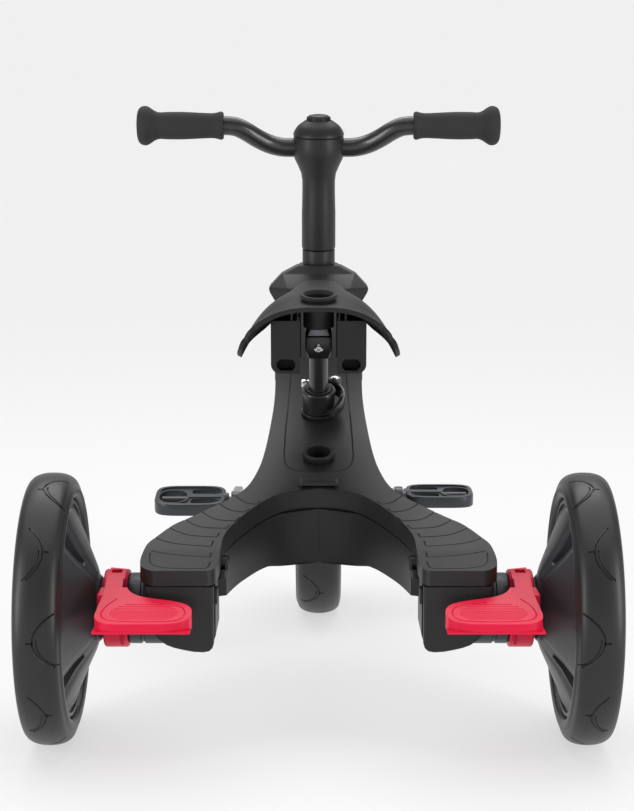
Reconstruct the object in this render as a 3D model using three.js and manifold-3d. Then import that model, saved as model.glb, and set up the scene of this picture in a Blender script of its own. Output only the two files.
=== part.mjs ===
// Children's tricycle: one steered and pedalled wheel in front, two braked wheels behind,
// a moulded Y-shaped frame between them, and a saddle on a sliding post.
// Millimetres. +X is the rider's right, +Y is forwards and +Z is up.
import * as THREE from 'three';
import { mergeVertices } from 'three/addons/utils/BufferGeometryUtils.js';
import Module from 'manifold-3d';

const wasm = await Module();
wasm.setup();

// ---- Driving dimensions ------------------------------------------------------------------
const GAP = 0.35; // between pieces that touch

// Rear wheels and axles. The rear axle line is y = 0 until the last line moves the origin.
const REAR_R = 115;
const REAR_X = 225.6; // middle plane of a rear tyre
const REAR_HALF = 18.8; // half the tyre's width
const WINDOW_TURN = Math.PI / 9; // how far each wheel has rolled from one window straight up
const AXLE_R = 5;
const AXLE_Z = REAR_R;

// Front wheel
const FRONT_R = 125;
const FRONT_HALF = 23.5;
const WHEELBASE = 458;
const CRANK = 60;
const CRANK_RISE = 8; // degrees: the left crank points back and a little up
const PEDAL_X = 138;

// Steering column, measured along its axis from the front axle
const STEER_LEAN = 10; // degrees back from upright
const CROWN = 134;
const HEAD_LOW = 150;
const HEAD_TOP = 262;
const SLEEVE_LOW = 280;
const SLEEVE_TOP = 366;
const BALL = 388; // handlebar clamp centre
const STEERER_R = 12;
const HEAD_R = 22;
const SLEEVE_R = 17.7;
const BAR_R = 9;
const GRIP_IN = 95;
const GRIP_OUT = 185.5;

// Seat tube, leaning back square to the deck
const SEAT_LEAN = 22.5;
const SEAT_Y = 236;
const SEAT_Z = 250.5;
const POST_R = 9;
const TUBE_R = 12.4;
const FLANGE_R = 17;

// Push-bar socket in the deck
const SOCKET_Y = 158;
const SOCKET_Z = 219.5;
const SOCKET_R = 11;

// Saddle
const SADDLE_Y = 101;
const SADDLE_Z = 369; // crest of the saddle at its rear edge
const SADDLE_RISE = 2.5; // degrees up towards the nose
const SADDLE_HALF = 73.5;
const SADDLE_DROOP = 52;
const SADDLE_LENGTH = 200;

// Leg ends
const LEG_END = -57; // rear edge of the deck cover
const CARRIER_IN = 86.4;
const CARRIER_OUT = 128;
const CARRIER_FRONT = 31.8;
const HOUSING_R = 30;
const HOUSING_OUT = 160.2;
const BRAKE_OUT = 181;

// Deck in plan, right-hand half: the outer edge from head to leg end, and the inner edge
// from the leg end to the crotch between the legs. (x, y)
const DECK_OUTER = [
  [43, 260], [46, 215], [51, 163], [59, 125], [76, 90], [100, 67], [124, 44], [139, 19], [146.5, 2],
  [148.5, -22], [146, -42],
];
const DECK_INNER = [[83, -25], [82.6, 18], [71, 49], [54, 76], [35, 95], [0, 104]];
// Deck surface seen from the side, leg end to head. (y, z)
const DECK_TOP = [
  [-62, 159], [-20, 164.5], [0, 168], [50, 181], [103, 199], [158, 219], [236, 250], [290, 281],
  [325, 318], [350, 348], [380, 356], [440, 356],
];
const COVER_FRONT = 345;
const SHELL_FRONT = 425;
const COVER_WALL = 3.4;
const COVER_SKIRT = 18;
const SHELL_DEPTH = 57;

// ---- Materials ---------------------------------------------------------------------------
const paint = (color, roughness, metalness = 0) =>
  new THREE.MeshStandardMaterial({ color, roughness, metalness });
const FRAME_PLASTIC = () => paint(0x2b2a2c, 0.55);
const SADDLE_PLASTIC = () => paint(0x373739, 0.6);
const HOUSING_PLASTIC = () => paint(0x2f3338, 0.5);
const TYRE_RUBBER = () => paint(0x2c2c2c, 0.75);
const GRIP_RUBBER = () => paint(0x303032, 0.85);
const BRAKE_RED = () => paint(0xf01e46, 0.4);
const BLACK_STEEL = () => paint(0x242426, 0.4, 0.6);
const BRIGHT_STEEL = () => paint(0xb9bcc0, 0.3, 1);

// ---- Small tools for solids --------------------------------------------------------------
const X = new THREE.Vector3(1, 0, 0);
const Y = new THREE.Vector3(0, 1, 0);
const Z = new THREE.Vector3(0, 0, 1);

// A closed three.js geometry as a solid that can be joined and cut.
function solid(geometry) {
  const bare = geometry.clone();
  bare.deleteAttribute('normal');
  bare.deleteAttribute('uv');
  const merged = mergeVertices(bare, 1e-4);
  return new wasm.Manifold(new wasm.Mesh({
    numProp: 3,
    vertProperties: new Float32Array(merged.attributes.position.array),
    triVerts: new Uint32Array(merged.index.array),
  }));
}

// And back to a geometry.
function geometryOf(body) {
  const mesh = body.getMesh();
  const geometry = new THREE.BufferGeometry();
  geometry.setAttribute('position', new THREE.BufferAttribute(new Float32Array(mesh.vertProperties), 3));
  geometry.setIndex(new THREE.BufferAttribute(new Uint32Array(mesh.triVerts), 1));
  return geometry;
}

const join = (first, ...rest) => geometryOf(rest.reduce((sum, g) => sum.add(solid(g)), solid(first)));
const cut = (first, ...rest) => geometryOf(rest.reduce((sum, g) => sum.subtract(solid(g)), solid(first)));
const common = (first, ...rest) => geometryOf(rest.reduce((sum, g) => sum.intersect(solid(g)), solid(first)));

// The same geometry on the other side of the x = 0 plane.
function mirrored(geometry) {
  const copy = geometry.clone().scale(-1, 1, 1);
  const index = copy.index.array;
  for (let i = 0; i < index.length; i += 3) {
    [index[i], index[i + 1]] = [index[i + 1], index[i]];
  }
  return copy;
}

const points = (pairs) => pairs.map(([a, b]) => new THREE.Vector2(a, b));
const shapeOf = (pairs) => new THREE.Shape(points(pairs));

// Extrusions of a flat shape along each axis: the shape is drawn in (x, y), (y, z) or (x, z).
const extruded = (shape, depth) =>
  new THREE.ExtrudeGeometry(shape, { depth, bevelEnabled: false, curveSegments: 3 });
const alongZ = (shape, z0, z1) => extruded(shape, z1 - z0).translate(0, 0, z0);
const alongX = (shape, x0, x1) =>
  extruded(shape, x1 - x0).applyMatrix4(new THREE.Matrix4().makeBasis(Y, Z, X)).translate(x0, 0, 0);
const alongY = (shape, y0, y1) => extruded(shape, y1 - y0)
  .applyMatrix4(new THREE.Matrix4().makeBasis(X, Z, Y.clone().negate())).translate(0, y1, 0);

const block = (x0, x1, y0, y1, z0, z1) => new THREE.BoxGeometry(x1 - x0, y1 - y0, z1 - z0)
  .translate((x0 + x1) / 2, (y0 + y1) / 2, (z0 + z1) / 2);

// A rectangle with round corners, centred on (cx, cy).
function roundRect(cx, cy, width, height, radius) {
  const shape = new THREE.Shape();
  const [w, h] = [width / 2 - radius, height / 2 - radius];
  shape.absarc(cx + w, cy + h, radius, 0, Math.PI / 2);
  shape.absarc(cx - w, cy + h, radius, Math.PI / 2, Math.PI);
  shape.absarc(cx - w, cy - h, radius, Math.PI, 1.5 * Math.PI);
  shape.absarc(cx + w, cy - h, radius, 1.5 * Math.PI, 2 * Math.PI);
  return shape;
}

// A turned solid about z from a closed outline of [radius, height] pairs.
function turned(pairs, segments = 16) {
  const area = pairs.reduce((sum, [r, h], i) => {
    const [r2, h2] = pairs[(i + 1) % pairs.length];
    return sum + r * h2 - r2 * h;
  }, 0);
  const ordered = area > 0 ? pairs : [...pairs].reverse();
  const lathe = new THREE.LatheGeometry(points([...ordered, ordered[0]]), segments);
  return lathe.rotateX(Math.PI / 2);
}

const ring = (inner, outer, z0, z1, segments) =>
  turned([[inner, z0], [outer, z0], [outer, z1], [inner, z1]], segments);
const rod = (radius, z0, z1, segments = 16) =>
  new THREE.CylinderGeometry(radius, radius, z1 - z0, segments).rotateX(Math.PI / 2).translate(0, 0, (z0 + z1) / 2);

// Turned pieces along x: heights become distances along +X.
const acrossX = (geometry) => geometry.rotateY(Math.PI / 2);

// ---- Scene graph -------------------------------------------------------------------------
const trike = new THREE.Group();

function add(name, geometry, material, parent = trike) {
  const mesh = new THREE.Mesh(geometry, material);
  mesh.name = name;
  parent.add(mesh);
  return mesh;
}

function leaning(x, y, z, degrees) {
  const group = new THREE.Group();
  group.position.set(x, y, z);
  group.rotation.x = THREE.MathUtils.degToRad(degrees);
  group.updateMatrix();
  trike.add(group);
  return group;
}

const column = leaning(0, WHEELBASE, FRONT_R, STEER_LEAN);
const seatLine = leaning(0, SEAT_Y, SEAT_Z, SEAT_LEAN);
const socketLine = leaning(0, SOCKET_Y, SOCKET_Z, SEAT_LEAN);
const saddleLine = leaning(0, SADDLE_Y, SADDLE_Z, SADDLE_RISE);

// A shape made in a leaning group's own axes, placed on the trike, for cutting.
const placed = (geometry, group) => geometry.clone().applyMatrix4(group.matrix);

// ---- Deck and frame ----------------------------------------------------------------------
function spline(pairs, steps) {
  return new THREE.SplineCurve(points(pairs)).getPoints(steps).map((p) => [p.x, p.y]);
}

// Plan outline of the deck, drawn in from its edge by inset.
function deckPlan(inset, front) {
  const outer = [[43, front], ...spline(DECK_OUTER, 13)].map(([x, y]) => [x - inset, y]);
  const inner = spline([[87, LEG_END], ...DECK_INNER], 8).map(([x, y]) => {
    const side = Math.min(1, x / 40);
    return [x + inset * side, y + inset * (1 - 0.66 * side)];
  });
  const end = [[138 - inset, LEG_END + 3 + inset], [130 - inset, LEG_END + inset], [92 + inset, LEG_END + inset]];
  inner[0] = [inner[0][0], LEG_END + 5 + inset];
  const half = [...outer, ...end, ...inner];
  half[0][1] = front - inset;
  const left = half.slice(0, -1).reverse().map(([x, y]) => [-x, y]);
  return shapeOf([...half, ...left]);
}

// Everything between the deck surface lowered by drop and the same surface lower by depth.
function deckBand(drop, depth) {
  const top = spline(DECK_TOP, 13).map(([y, z]) => [y, z - drop]);
  const bottom = top.map(([y, z]) => [y, z - depth]).reverse();
  return shapeOf([...top, ...bottom]);
}

const deckSolid = (inset, drop, depth, front) =>
  common(alongZ(deckPlan(inset, front), 20, 400), alongX(deckBand(drop, depth), -170, 170));

// Openings through the deck for the seat tube, the push-bar socket and its button.
const deckHoles = () => [
  placed(rod(TUBE_R + GAP, -90, 60), seatLine),
  placed(rod(SOCKET_R + 2.5 + GAP, -80, 60), socketLine),
];

function deckCover() {
  const shell = cut(
    deckSolid(0, 0, COVER_SKIRT, COVER_FRONT),
    deckSolid(COVER_WALL, COVER_WALL, 80, COVER_FRONT + 30),
  );
  // Flat seats round both tubes, for their flanges.
  const spotFaces = [
    placed(rod(FLANGE_R + GAP, 0.4, 40, 24), seatLine),
    placed(rod(SOCKET_R + 4.5 + GAP, 0.8, 40, 24), socketLine),
  ];
  return cut(shell, ...deckHoles(), ...spotFaces, block(-14.8, 14.8, 104, 116, 150, 240));
}

// The wall that closes the frame between the legs, below the cover's edge.
function legWeb() {
  const near = spline([[77.8, CARRIER_FRONT + 2], ...DECK_INNER.slice(2)], 6).map(([x, y]) => [x + 1.5, y + 0.8]);
  const far = near.map(([x, y]) => [x === 1.5 ? 0 : x + 3.6, y + 3.6]).reverse();
  near[near.length - 1][0] = 0;
  const right = [...near, ...far];
  const left = mirroredPlan(near, far);
  const band = alongX(deckBand(COVER_SKIRT + GAP, SHELL_DEPTH - COVER_SKIRT + 4), -170, 170);
  return common(join(alongZ(shapeOf(right), 40, 300), alongZ(shapeOf(left), 40, 300)), band);
}

function mirroredPlan(near, far) {
  return [...near, ...far].map(([x, y]) => [-x, y]);
}

function frameShell() {
  const inset = COVER_WALL + GAP;
  const hollow = deckSolid(inset + 3.6, inset + 3.6, 120, SHELL_FRONT - 12);
  const shell = cut(
    deckSolid(inset, inset, SHELL_DEPTH, SHELL_FRONT),
    hollow,
    block(CARRIER_IN - 0.8, 170, -80, CARRIER_FRONT + GAP, 0, 300),
    block(-170, -CARRIER_IN + 0.8, -80, CARRIER_FRONT + GAP, 0, 300),
  );
  const headBlock = placed(rod(HEAD_R + 6, HEAD_LOW + 2, HEAD_LOW + 68, 28), column);
  const seatBoss = placed(rod(TUBE_R + 5, -58, -6), seatLine);
  const socketBoss = placed(rod(SOCKET_R + 6.5, -44, -6), socketLine);
  const whole = join(shell, legWeb(), headBlock, seatBoss, socketBoss);
  return cut(
    whole,
    ...deckHoles(),
    placed(rod(HEAD_R + GAP, 100, 300, 28), column),
    block(-14.8, 14.8, 104, 116, 150, 240),
  );
}

add('frame_shell', frameShell(), FRAME_PLASTIC());
add('deck_cover', deckCover(), FRAME_PLASTIC());

// ---- Head: shroud, tube and bearings -----------------------------------------------------
function headCover() {
  const seenFromBehind = shapeOf([
    [-44, 303], [-44.5, 346], [-52.5, 357], [-52.5, 362], [-41, 374], [-31, 384],
    [31, 384], [41, 374], [52.5, 362], [52.5, 357], [44.5, 346], [44, 303],
  ]);
  const seenFromSide = shapeOf([
    [346, 303], [346, 350], [372, 376], [388, 384], [428, 384], [452, 372], [464, 330], [464, 303],
  ]);
  const seenFromAbove = shapeOf([
    [-44, 340], [-53, 362], [-53, 400], [-40, 440], [-22, 466], [22, 466], [40, 440], [53, 400], [53, 362], [44, 340],
  ]);
  const outer = common(
    alongY(seenFromBehind, 340, 470),
    alongX(seenFromSide, -60, 60),
    alongZ(seenFromAbove, 290, 400),
  );
  const cavity = [
    block(-41, 41, 340, 430, 290, 354.5),
    block(-33, 33, 429, 442, 290, 350),
    block(-24, 24, 441, 455, 290, 348),
  ];
  return cut(outer, ...cavity, placed(rod(HEAD_R + GAP, 100, 330, 28), column));
}
add('head_cover', headCover(), FRAME_PLASTIC());
add('head_tube', ring(STEERER_R + 4.3, HEAD_R, HEAD_LOW, HEAD_TOP, 28), BLACK_STEEL(), column);
for (const [name, low] of [['lower_bearing', HEAD_LOW + 1], ['upper_bearing', HEAD_TOP - 8]]) {
  add(name, ring(STEERER_R + GAP, STEERER_R + 4, low, low + 7), BRIGHT_STEEL(), column);
}

// ---- Leg ends: axle carriers, housings, axles and latches --------------------------------
const LATCH = { y0: -46, y1: -30, z0: 128, z1: 142 };

function axleCarrier() {
  const seenFromBehind = shapeOf([
    [CARRIER_IN, 175], [CARRIER_IN, 97], [89.5, 90], [96.4, 87], [114, 87], [122, 90], [CARRIER_OUT, 100],
    [CARRIER_OUT, 144], [146, 147.5], [146, 175],
  ]);
  const inset = COVER_WALL + GAP;
  const outer = common(deckSolid(inset, inset, 90, COVER_FRONT), alongY(seenFromBehind, -60, CARRIER_FRONT));
  const { y0, y1, z0, z1 } = LATCH;
  return cut(
    outer,
    block(CARRIER_IN + 4, CARRIER_OUT - 4, LEG_END + 9, 60, 91, 146),
    block(80, CARRIER_IN + 8, y0 - 0.5, y1 + 0.5, z0 - 0.5, z1 + 0.5),
    acrossX(rod(AXLE_R + GAP, 60, 200)).translate(0, 0, AXLE_Z),
  );
}

// A drum that carries the stub axle, with the sleeve that the brake pedal turns on.
function axleHousing() {
  const profile = [
    [AXLE_R + GAP, CARRIER_OUT + GAP], [HOUSING_R, CARRIER_OUT + GAP], [HOUSING_R, HOUSING_OUT],
    [12, HOUSING_OUT], [12, BRAKE_OUT + GAP], [AXLE_R + GAP, BRAKE_OUT + GAP],
  ];
  const drum = acrossX(turned(profile, 28)).translate(0, 0, AXLE_Z);
  // The cover and carrier roof sit over the drum's inner end.
  return cut(drum, block(120, 152, -60, 60, 143.6, 160));
}

const latch = () => block(79.5, CARRIER_IN + 5, LATCH.y0, LATCH.y1, LATCH.z0, LATCH.z1);
const axle = () => acrossX(rod(AXLE_R, 100, 238)).translate(0, 0, AXLE_Z);

// ---- Rear wheels -------------------------------------------------------------------------
// Tyre section as [radius, distance from the middle plane].
function tyre(radius, half, wall) {
  const bead = radius - wall;
  const s = half / 18.8;
  return turned([
    [bead, -half + 1], [bead + 8, -half - 0.5], [radius - 4.5, -half + 1.5 * s], [radius - 1.2, -half + 7 * s],
    [radius, 0], [radius - 1.2, half - 7 * s], [radius - 4.5, half - 1.5 * s], [bead + 8, half], [bead, half - 1],
  ], 32);
}

// A double-walled wheel with a coned inner face, a flat outer face and three openings.
function rim(outerR, hubR, innerFace, outerFace, half, boreR) {
  const [hubIn, edgeIn] = innerFace;
  const [hubOut, edgeOut] = outerFace;
  const wall = 3.6;
  const body = turned([
    [boreR, hubIn], [hubR, hubIn], [outerR - 10, edgeIn], [outerR - 6, -half + 1], [outerR, -half + 1],
    [outerR, half - 1.5], [outerR - 6, half - 1.5], [outerR - 10, edgeOut], [hubR, hubOut], [boreR, hubOut],
  ], 24);
  const cavity = turned([
    [hubR - 2, hubIn + wall + 3], [outerR - 8, edgeIn + wall], [outerR - 8, edgeOut - wall],
    [hubR - 2, hubOut - wall],
  ], 24);
  const windows = [0, 1, 2].map((k) => {
    const angle = WINDOW_TURN + (k * 2 + 1) * Math.PI / 3;
    return alongZ(roundRect((hubR + outerR) / 2 - 2, 0, outerR - hubR - 26, 20, 7), -80, 80).rotateZ(angle);
  });
  return cut(body, cavity, ...windows);
}

// Inner face: 182 mm out at the hub, 208 mm at the edge; heights are from the tyre's middle.
const rearRim = () => rim(93.1, 27, [BRAKE_OUT + 1.2 - REAR_X, -18.4], [12.4, 14], REAR_HALF, 8 + GAP);
const onRearAxle = (geometry) => acrossX(geometry).translate(REAR_X, 0, AXLE_Z);

// ---- Brake pedals ------------------------------------------------------------------------
function brakePedal() {
  const inner = HOUSING_OUT + GAP;
  const hub = acrossX(ring(12 + GAP, 33, inner, BRAKE_OUT, 24)).translate(0, 0, AXLE_Z);
  const armSide = shapeOf([[-8, 146], [-22, 152], [-32, 151.5], [-68, 140], [-106, 128], [-107, 118], [-66, 118], [-28, 104]]);
  const bore = acrossX(rod(12 + GAP, 150, 190)).translate(0, 0, AXLE_Z);
  const arm = cut(alongX(armSide, inner, BRAKE_OUT), bore);
  const padSide = shapeOf([[-66, 139.4], [-106, 127.5], [-107.5, 117], [-66, 118]]);
  const padPlan = new THREE.Shape();
  padPlan.moveTo(BRAKE_OUT, -66);
  padPlan.lineTo(122, -66);
  padPlan.absarc(122, -86.5, 20.5, Math.PI / 2, 1.5 * Math.PI, false);
  padPlan.lineTo(BRAKE_OUT, -107);
  const pad = common(alongX(padSide, 90, BRAKE_OUT), alongZ(padPlan, 80, 180));
  return join(hub, arm, pad);
}

// ---- Both sides --------------------------------------------------------------------------
for (const [side, place] of [['right', (g) => g], ['left', mirrored]]) {
  const closed = (geometry) => place(geometryOf(solid(geometry)));
  add(`${side}_axle_carrier`, place(axleCarrier()), FRAME_PLASTIC());
  add(`${side}_axle_housing`, place(axleHousing()), HOUSING_PLASTIC());
  add(`${side}_axle`, closed(axle()), BRIGHT_STEEL());
  add(`${side}_latch`, closed(latch()), FRAME_PLASTIC());
  add(`${side}_brake_pedal`, place(brakePedal()), BRAKE_RED());
  add(`${side}_tyre`, closed(onRearAxle(tyre(REAR_R, REAR_HALF, 21))), TYRE_RUBBER());
  add(`${side}_rim`, place(onRearAxle(rearRim())), FRAME_PLASTIC());
  add(`${side}_bush`, closed(onRearAxle(ring(AXLE_R + GAP, 8, -42, 11))), BLACK_STEEL());
  const cap = turned([[0, 12.8], [20, 12.8], [19, 15.5], [14, 17.5], [0, 18]], 20);
  add(`${side}_hub_cap`, closed(onRearAxle(cap)), FRAME_PLASTIC());
}

// ---- Fork and steering column ------------------------------------------------------------
function fork() {
  const steerer = rod(STEERER_R, CROWN, 371);
  const crown = alongZ(roundRect(0, 0, 96, 34, 12), CROWN, CROWN + 13);
  const bladeSide = new THREE.Shape();
  bladeSide.absarc(0, 0, 16, Math.PI, 2 * Math.PI, false);
  bladeSide.lineTo(15, CROWN + 6);
  bladeSide.lineTo(-15, CROWN + 6);
  const blades = [alongX(bladeSide, 34, 46), alongX(bladeSide, -46, -34)];
  return cut(join(steerer, crown, ...blades), acrossX(rod(11, -60, 60)));
}
add('fork', fork(), BLACK_STEEL(), column);
add('steering_collar', ring(STEERER_R + GAP, 17.2, HEAD_TOP + 1.2, SLEEVE_LOW - 0.4), FRAME_PLASTIC(), column);
add('column_sleeve', ring(STEERER_R + GAP, SLEEVE_R, SLEEVE_LOW, SLEEVE_TOP), FRAME_PLASTIC(), column);
for (const [name, low] of [['left_fork_bearing', -45], ['right_fork_bearing', 35]]) {
  add(name, acrossX(ring(6.4, 10.6, low, low + 10)), BRIGHT_STEEL(), column);
}

// Handlebar centreline in the column's axes: level through the clamp, up and back to the grips.
function barPath() {
  const half = [
    [26, 0, BALL], [42, -1, BALL + 1.5], [62, -8, BALL + 12], [74, -13, BALL + 19], [86, -15, BALL + 22],
    [GRIP_IN + 5, -15, BALL + 22], [140, -15, BALL + 22],
  ];
  const right = [[0, 0, BALL], ...half, [GRIP_OUT - 6, -15, BALL + 22]];
  const left = right.slice(1).map(([x, y, z]) => [-x, y, z]).reverse();
  return new THREE.CatmullRomCurve3([...left, ...right].map((p) => new THREE.Vector3(...p)), false, 'centripetal');
}

function circle(radius, sides) {
  const shape = new THREE.Shape();
  for (let i = 0; i < sides; i += 1) {
    const angle = (i / sides) * 2 * Math.PI;
    const [x, y] = [radius * Math.cos(angle), radius * Math.sin(angle)];
    if (i === 0) shape.moveTo(x, y);
    else shape.lineTo(x, y);
  }
  return shape;
}

const bar = (radius) =>
  new THREE.ExtrudeGeometry(circle(radius, 10), { steps: 24, extrudePath: barPath(), bevelEnabled: false });

function ballClamp() {
  const ball = new THREE.SphereGeometry(1, 16, 10).rotateX(Math.PI / 2).scale(27, 25, 25).translate(0, 0, BALL);
  const neck = turned([[0, SLEEVE_TOP + GAP], [SLEEVE_R, SLEEVE_TOP + GAP], [SLEEVE_R + 4, BALL - 12], [0, BALL - 12]]);
  const below = cut(common(join(ball, neck), block(-40, 40, -40, 40, SLEEVE_TOP + GAP, BALL - 0.2)), bar(BAR_R + 0.5));
  const above = cut(common(ball, block(-40, 40, -40, 40, BALL + 0.2, 460)), bar(BAR_R + 0.5));
  return [cut(below, rod(STEERER_R + GAP, 350, 371.5)), above];
}
const [clampBelow, clampAbove] = ballClamp();
add('handlebar_clamp', clampBelow, FRAME_PLASTIC(), column);
add('handlebar_clamp_cap', cut(clampAbove, rod(13, BALL + 21.5, 460)), FRAME_PLASTIC(), column);
add('clamp_knob', turned([[0, BALL + 21.9], [12.5, BALL + 21.9], [12.5, BALL + 28], [11, BALL + 29.5], [0, BALL + 29.5]]),
  FRAME_PLASTIC(), column);
add('handlebar', bar(BAR_R), BLACK_STEEL(), column);

function grip() {
  const length = GRIP_OUT - GRIP_IN;
  const profile = [
    [9.8, 0], [14.6, 0], [15, 2], [14.4, 4.5], [13.4, 7], [13.6, length - 12], [17, length - 9], [19.4, length - 5],
    [19, length - 2], [16, length], [0, length], [0, length - 3], [9.8, length - 3],
  ];
  return acrossX(turned(profile, 18)).translate(GRIP_IN, -15, BALL + 22);
}
add('right_grip', grip(), GRIP_RUBBER(), column);
add('left_grip', mirrored(geometryOf(solid(grip()))), GRIP_RUBBER(), column);

// ---- Front wheel, cranks and pedals ------------------------------------------------------
const wheelCentre = new THREE.Group();
wheelCentre.position.set(0, WHEELBASE, FRONT_R);
trike.add(wheelCentre);
add('front_tyre', acrossX(tyre(FRONT_R, FRONT_HALF, 22)), TYRE_RUBBER(), wheelCentre);
add('front_rim', acrossX(rim(102.1, 24, [-28, -14], [28, 14], FRONT_HALF, 6 + GAP)), FRAME_PLASTIC(), wheelCentre);
add('front_axle', acrossX(rod(6, -95, 95)), BRIGHT_STEEL(), wheelCentre);

// Crank arm along -Y for the left side, +Y for the right, with its pedal spindle.
function crank(side) {
  const shape = new THREE.Shape();
  shape.absarc(0, 0, 13, Math.PI / 2, 1.5 * Math.PI, false);
  shape.absarc(CRANK, 0, 9.5, -Math.PI / 2, Math.PI / 2, false);
  const arm = alongX(shape, 83, 92);
  const spindle = acrossX(rod(4.5, 90, 166, 20)).translate(0, CRANK, 0);
  const right = cut(join(arm, spindle), acrossX(rod(6 + GAP, 70, 96.5)));
  return side > 0 ? right : mirrored(right).scale(1, -1, -1);
}

// A pedal cage about its spindle, which lies along x through the local origin.
function pedal() {
  const cage = alongZ(roundRect(PEDAL_X, 0, 76, 66, 10), -6.5, 6.5);
  const windows = [
    alongZ(roundRect(PEDAL_X + 6, 19.5, 44, 14, 6), -10, 10),
    alongZ(roundRect(PEDAL_X + 6, -19.5, 44, 14, 6), -10, 10),
  ];
  const barrel = acrossX(rod(8, PEDAL_X - 42, PEDAL_X + 32));
  return cut(join(cut(cage, ...windows), barrel), acrossX(rod(4.5 + GAP, 60, PEDAL_X + 29)));
}

for (const [name, side, tilt] of [['right', 1, 3], ['left', -1, 8]]) {
  const arm = add(`${name}_crank`, crank(side), BLACK_STEEL(), wheelCentre);
  arm.rotation.x = THREE.MathUtils.degToRad(-CRANK_RISE);
  const shape = side > 0 ? pedal() : mirrored(pedal());
  const cage = add(`${name}_pedal`, shape, FRAME_PLASTIC(), wheelCentre);
  const rise = THREE.MathUtils.degToRad(CRANK_RISE);
  cage.position.set(0, side * CRANK * Math.cos(rise), -side * CRANK * Math.sin(rise));
  cage.rotation.x = THREE.MathUtils.degToRad(tilt);
}

// ---- Seat tube, clamp and quick release --------------------------------------------------
const EAR_Y = 20.5;
const EAR_Z = [12, 26];

function seatTube() {
  return turned([
    [POST_R + 0.5, -62], [TUBE_R, -62], [TUBE_R, 0.8], [FLANGE_R, 0.8], [FLANGE_R, 3.6], [TUBE_R, 3.6], [TUBE_R, 27],
    [POST_R + 0.5, 27],
  ], 20);
}
add('seat_tube', seatTube(), BLACK_STEEL(), seatLine);

function seatClamp() {
  const band = ring(TUBE_R + GAP, 15.6, 4, 26.4, 20);
  const ears = cut(block(-9, 9, 13, EAR_Y + 6, ...EAR_Z), rod(TUBE_R + GAP, 0, 40));
  const slit = block(-1.2, 1.2, 10, 40, 0, 40);
  const boltHole = acrossX(rod(3 + GAP, -30, 30)).translate(0, EAR_Y, 19);
  return cut(join(band, ears), slit, boltHole);
}
add('seat_clamp', seatClamp(), FRAME_PLASTIC(), seatLine);

function clampBolt() {
  const shank = acrossX(rod(3, -17, 9.3)).translate(0, EAR_Y, 19);
  const nut = acrossX(new THREE.CylinderGeometry(5.4, 5.4, 7, 6).rotateX(Math.PI / 2)).translate(-13, EAR_Y, 19);
  return join(shank, nut);
}
add('clamp_bolt', clampBolt(), BRIGHT_STEEL(), seatLine);

// The lever's cam turns on a pin parallel to the post, and its arm wraps round the clamp.
const LEVER_PIN_X = 15.6;
function clampLever() {
  const cam = rod(6, ...EAR_Z, 20).translate(LEVER_PIN_X, EAR_Y, 0);
  const arm = new THREE.Shape();
  arm.absarc(0, 0, 24.5, 0.85, -0.95, true);
  arm.absarc(0, 0, 20, -0.95, 0.85, false);
  return join(cam, alongZ(arm, 11, 22));
}
add('clamp_lever', clampLever(), FRAME_PLASTIC(), seatLine);

// ---- Push-bar socket and its release button ----------------------------------------------
const socket = turned([
  [SOCKET_R, -46], [SOCKET_R + 2.5, -46], [SOCKET_R + 2.5, 1.2], [SOCKET_R + 4.5, 1.2], [SOCKET_R + 4.5, 5],
  [SOCKET_R, 5],
], 20);
add('push_bar_socket', socket, FRAME_PLASTIC(), socketLine);
add('push_bar_button', block(-14, 14, 105, 115.5, 190, 204), FRAME_PLASTIC());

// ---- Saddle ------------------------------------------------------------------------------
const archDrop = (x) => SADDLE_DROOP * (Math.abs(x) / SADDLE_HALF) ** 2.1;

// Arch seen from behind, in the saddle's own axes, between two depths below its crest.
function archBand(half, top, bottom) {
  const steps = 16;
  const across = Array.from({ length: steps + 1 }, (_, i) => -half + (2 * half * i) / steps);
  const upper = across.map((x) => [x, -archDrop(x) - top]);
  const lower = bottom === null ? [[half, -66], [-half, -66]] : across.map((x) => [x, -archDrop(x) - bottom]).reverse();
  return shapeOf([...upper, ...lower]);
}

function saddlePlan() {
  const half = spline([[68, 6], [SADDLE_HALF, 26], [69, 66], [48, 112], [34, 150], [27, 185]], 20);
  const right = [[0, 0], [40, 0], ...half, [18, SADDLE_LENGTH - 2], [0, SADDLE_LENGTH]];
  const left = right.slice(1, -1).reverse().map(([x, y]) => [-x, y]);
  return shapeOf([...right, ...left]);
}

const BACKREST_Y = 27;
function seatShell() {
  const band = alongY(archBand(SADDLE_HALF + 2, 0, 5.5), -5, SADDLE_LENGTH + 5);
  const hole = rod(14.2, -40, 20).translate(0, BACKREST_Y, 0);
  return cut(common(band, alongZ(saddlePlan(), -90, 20)), hole);
}
add('seat_shell', seatShell(), SADDLE_PLASTIC(), saddleLine);

// The box under the saddle, open along the middle for the post and its bracket.
function seatBox() {
  const top = alongY(archBand(43, 6, null), 5, 113);
  const outline = alongY(roundRect(0, -28, 86, 76, 9), 5, 113);
  const channel = block(-17.3, 17.3, -10, 120, -90, -23);
  const sockets = [-1, 1].map((side) => block(side * 28.5 - 8.5, side * 28.5 + 8.5, 0, 18, -64, -54));
  const hole = rod(14.2, -60, 20).translate(0, BACKREST_Y, 0);
  return cut(common(top, outline), channel, ...sockets, hole);
}
add('seat_box', seatBox(), SADDLE_PLASTIC(), saddleLine);
const backrestSocket = turned([
  [11.5, -24], [13.8, -24], [13.8, 0.6], [16.5, 0.6], [16.5, 4], [11.5, 4],
], 20).translate(0, BACKREST_Y, 0);
add('backrest_socket', backrestSocket, SADDLE_PLASTIC(), saddleLine);

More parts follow.
